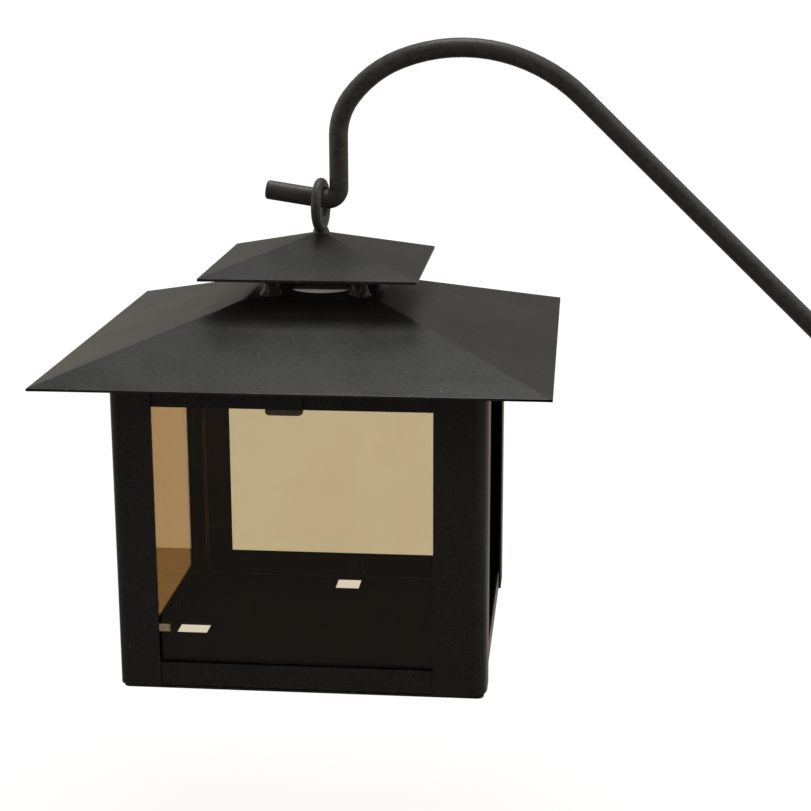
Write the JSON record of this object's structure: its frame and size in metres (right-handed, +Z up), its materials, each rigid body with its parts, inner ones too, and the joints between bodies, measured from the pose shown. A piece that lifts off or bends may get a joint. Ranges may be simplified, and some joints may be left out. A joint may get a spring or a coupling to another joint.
{
  "type": "grave lantern",
  "caption": "Square black sheet-metal lantern with tinted panes, a hinged glazed front, a pyramid roof and a vented hood, hung by its ring from the peg of a crook stake.",
  "frame": {"origin": "middle of the lantern base's underside", "axes": "+Z up, +X towards the leaning shank of the stake, -Y out of the door"},
  "size_m": [0.5571, 0.2, 0.3594],
  "materials": {
    "sheet_paint": "satin powder coat",
    "bar_paint": "satin paint",
    "fastener_steel": "satin",
    "amber_glass": "polished, amber tint"
  },
  "bodies": {
    "stake": {"crook_stake": "bar_paint"},
    "lantern": {"hanging_ring": "bar_paint", "hood": "sheet_paint", "hood_posts": "sheet_paint", "main_roof": "sheet_paint", "roof_brackets": "sheet_paint", "top_frame": "sheet_paint", "base_tray": "sheet_paint", "front_left_post": "sheet_paint", "front_right_post": "sheet_paint", "back_left_post": "sheet_paint", "back_right_post": "sheet_paint", "left_glass": "amber_glass", "back_glass": "amber_glass", "right_glass": "amber_glass", "left_glass_stop": "sheet_paint", "back_glass_stop": "sheet_paint", "right_glass_stop": "sheet_paint", "glass_top_clips": "sheet_paint", "door_hinge_pins": "fastener_steel"},
    "door": {"door_left_stile": "sheet_paint", "door_right_stile": "sheet_paint", "door_top_rail": "sheet_paint", "door_bottom_rail": "sheet_paint", "door_glass": "amber_glass", "door_glass_clips": "sheet_paint", "pull_tab": "sheet_paint", "pull_tab_rivets": "fastener_steel"}
  },
  "joints": [
    {"name": "lantern_swing", "type": "hinge", "parent": "stake", "child": "lantern", "pos_m": [0, 0, 0.19155], "axis": [-0.9885, 0, 0.1513], "range_deg": [-30, 30]},
    {"name": "door_hinge", "type": "hinge", "parent": "lantern", "child": "door", "pos_m": [-0.071, -0.071, 0.065], "axis": [0, 0, -1], "range_deg": [0, 110]}
  ]
}
